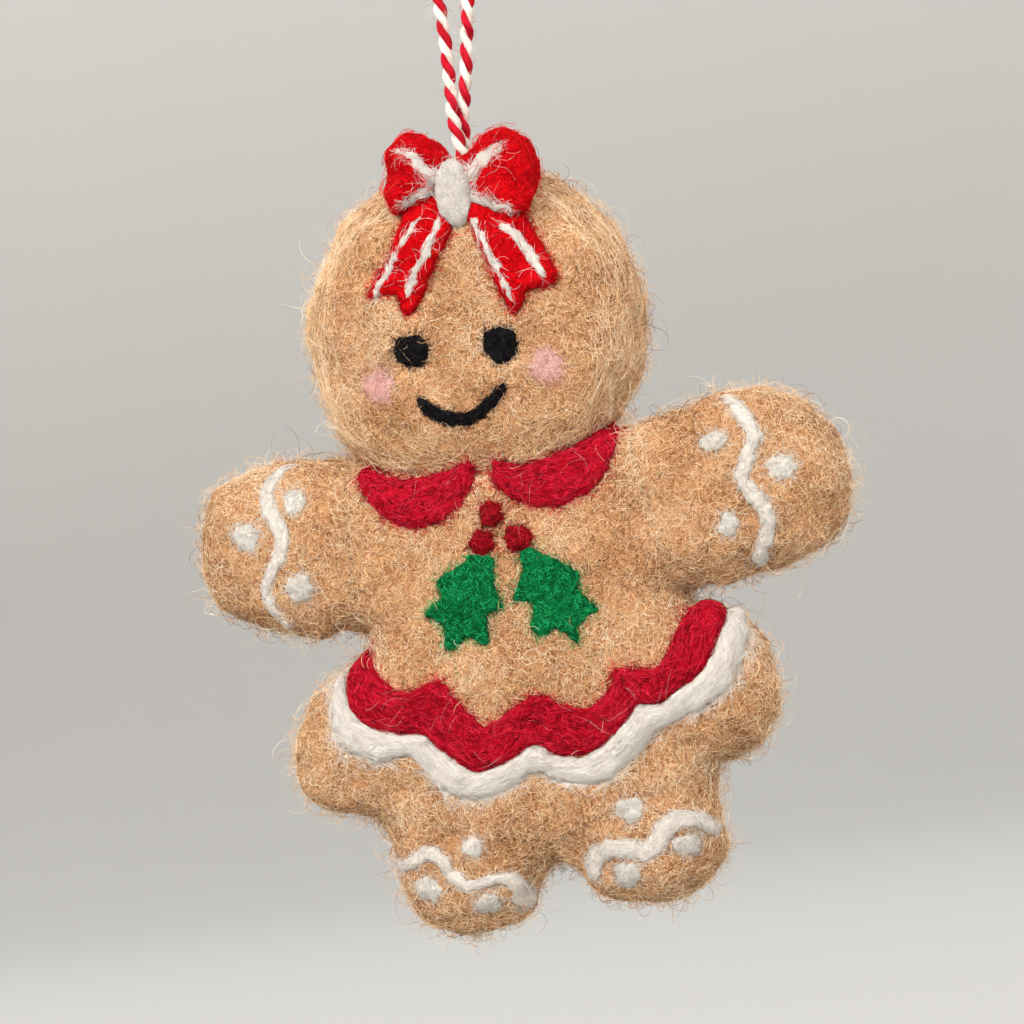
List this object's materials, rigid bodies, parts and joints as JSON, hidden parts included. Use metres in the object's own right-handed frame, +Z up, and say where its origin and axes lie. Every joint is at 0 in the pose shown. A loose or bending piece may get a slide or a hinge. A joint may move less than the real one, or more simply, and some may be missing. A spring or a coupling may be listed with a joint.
{
  "type": "felt christmas ornament",
  "caption": "Needle-felted gingerbread-girl ornament with a bow, collar, holly sprig and scalloped skirt, hung on a red and white twine loop.",
  "frame": {"origin": "inside of the twine loop's top, where a hook or twig bears", "axes": "+Z up along the figure, front faces -Y, +X to the viewer's right"},
  "size_m": [0.1015, 0.0242, 0.1717],
  "materials": {
    "tan_wool": "matte needle felt",
    "core_wool": "matte undyed wool",
    "scarlet_wool": "matte needle felt",
    "crimson_wool": "matte needle felt",
    "berry_wool": "matte needle felt",
    "white_wool": "matte needle felt",
    "green_wool": "matte needle felt",
    "black_wool": "matte needle felt",
    "pink_wool": "matte needle felt",
    "twine": "matte two-ply cotton twine"
  },
  "bodies": {
    "loop": {"hanger_loop": "twine"},
    "neck": {"hanger_neck": "twine", "hanger_knot": "twine"},
    "ornament": {"berry_left": "berry_wool", "berry_right": "berry_wool", "berry_top": "berry_wool", "bow_knot": "white_wool", "bow_left_loop": "scarlet_wool", "bow_left_stripe_lower": "white_wool", "bow_left_stripe_upper": "white_wool", "bow_left_tail": "scarlet_wool", "bow_left_tail_stripe_inner": "white_wool", "bow_left_tail_stripe_outer": "white_wool", "bow_right_loop": "scarlet_wool", "bow_right_stripe_lower": "white_wool", "bow_right_stripe_upper": "white_wool", "bow_right_tail": "scarlet_wool", "bow_right_tail_stripe_inner": "white_wool", "bow_right_tail_stripe_outer": "white_wool", "collar_left": "crimson_wool", "collar_right": "crimson_wool", "head_core": "core_wool", "head_cover": "tan_wool", "holly_leaf_left": "green_wool", "holly_leaf_right": "green_wool", "left_arm_core": "core_wool", "left_arm_cover": "tan_wool", "left_arm_dot_lower": "white_wool", "left_arm_dot_outer": "white_wool", "left_arm_dot_upper": "white_wool", "left_arm_icing": "white_wool", "left_cheek": "pink_wool", "left_eye": "black_wool", "left_leg_core": "core_wool", "left_leg_cover": "tan_wool", "left_leg_dot_left": "white_wool", "left_leg_dot_right": "white_wool", "left_leg_dot_upper": "white_wool", "left_leg_icing": "white_wool", "mouth": "black_wool", "right_arm_core": "core_wool", "right_arm_cover": "tan_wool", "right_arm_dot_lower": "white_wool", "right_arm_dot_outer": "white_wool", "right_arm_dot_upper": "white_wool", "right_arm_icing": "white_wool", "right_cheek": "pink_wool", "right_eye": "black_wool", "right_leg_core": "core_wool", "right_leg_cover": "tan_wool", "right_leg_dot_left": "white_wool", "right_leg_dot_right": "white_wool", "right_leg_dot_upper": "white_wool", "right_leg_icing": "white_wool", "skirt_band": "crimson_wool", "skirt_trim": "white_wool", "torso_core": "core_wool", "torso_cover": "tan_wool"}
  },
  "joints": [
    {"name": "hanger_swing", "type": "hinge", "parent": "loop", "child": "neck", "pos_m": [0, 0, -0.0447], "axis": [1, 0, 0], "range_deg": [-90, 90]},
    {"name": "hanger_turn", "type": "hinge", "parent": "neck", "child": "ornament", "pos_m": [0, 0, -0.0527], "axis": [0, 0, 1], "range_deg": [-180, 180]}
  ]
}
